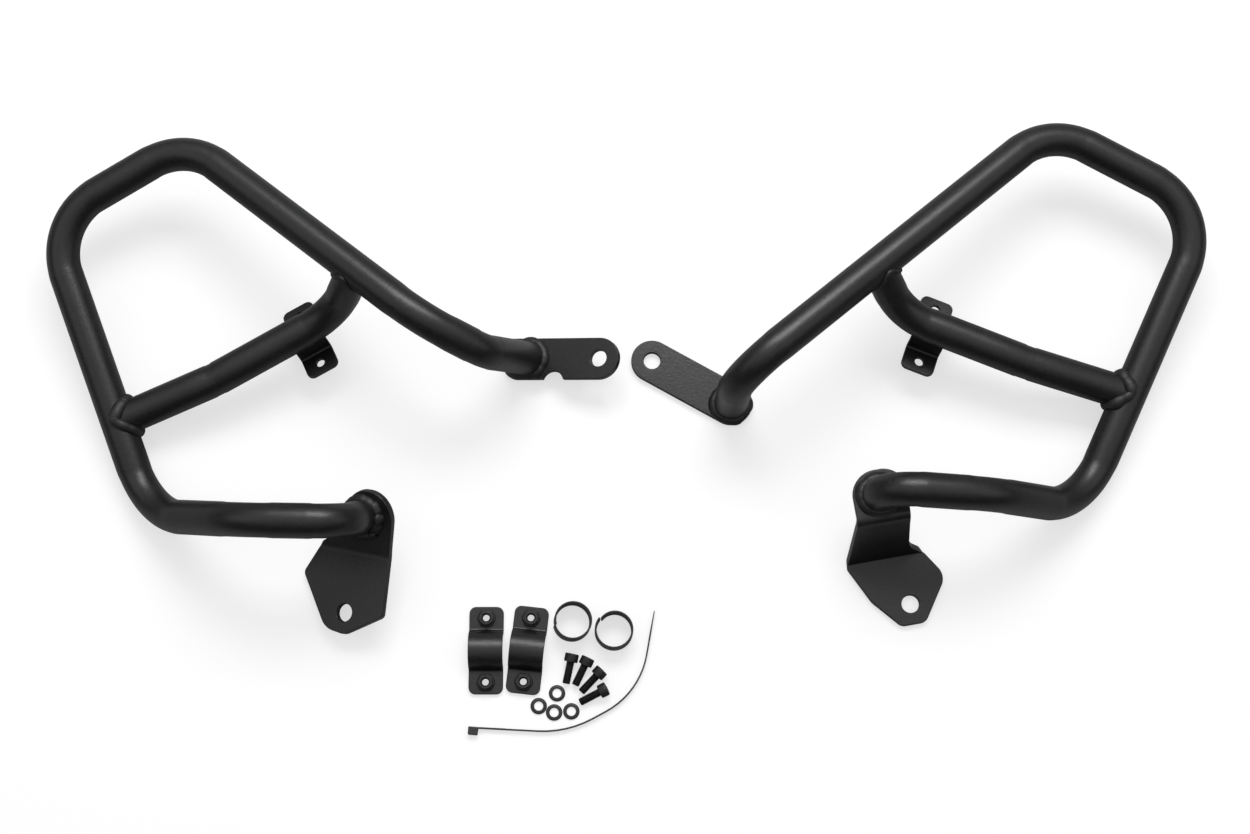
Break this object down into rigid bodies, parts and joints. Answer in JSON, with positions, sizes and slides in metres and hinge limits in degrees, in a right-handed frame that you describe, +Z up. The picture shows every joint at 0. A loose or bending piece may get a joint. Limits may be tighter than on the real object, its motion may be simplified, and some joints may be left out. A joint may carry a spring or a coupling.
{
  "type": "motorcycle crash bar set",
  "caption": "Left and right bent-tube engine guards with cross tubes, bolt-on plates, folded brackets and welded saddles, with clamp halves, sleeves, screws, washers and a cable tie.",
  "frame": {"origin": "middle of the laid-out set's outline, on the floor it lies on", "axes": "+X from the left bar to the right bar, +Y from the fitting kit towards the tops of the bars, +Z up"},
  "size_m": [0.8552, 0.4446, 0.1138],
  "materials": {
    "powder_coat": "satin black fine-texture powder coat on steel",
    "powder_coat_welds": "the same powder coat over weld bead",
    "plated_nuts": "black-coated steel",
    "black_steel_screws": "black oxide, oiled",
    "black_steel_washers": "black oxide",
    "black_steel_sleeves": "black-coated steel strip",
    "nylon_tie": "black moulded nylon"
  },
  "bodies": {
    "root": {"left_main_tube": "powder_coat", "left_cross_tube": "powder_coat", "left_upper_plate": "powder_coat", "left_lower_bracket": "powder_coat", "left_saddle": "powder_coat", "left_upper_weld": "powder_coat_welds", "left_lower_weld": "powder_coat_welds", "left_cross_outer_weld": "powder_coat_welds", "left_cross_inner_weld": "powder_coat_welds", "left_saddle_weld": "powder_coat_welds", "right_main_tube": "powder_coat", "right_cross_tube": "powder_coat", "right_upper_plate": "powder_coat", "right_lower_bracket": "powder_coat", "right_saddle": "powder_coat", "right_upper_weld": "powder_coat_welds", "right_lower_weld": "powder_coat_welds", "right_cross_outer_weld": "powder_coat_welds", "right_cross_inner_weld": "powder_coat_welds", "right_saddle_weld": "powder_coat_welds", "clamp_1": "powder_coat", "clamp_2": "powder_coat", "clamp_nuts": "plated_nuts", "sleeve_1": "black_steel_sleeves", "sleeve_2": "black_steel_sleeves", "cap_screws": "black_steel_screws", "washers": "black_steel_washers", "cable_tie": "nylon_tie"}
  },
  "joints": []
}
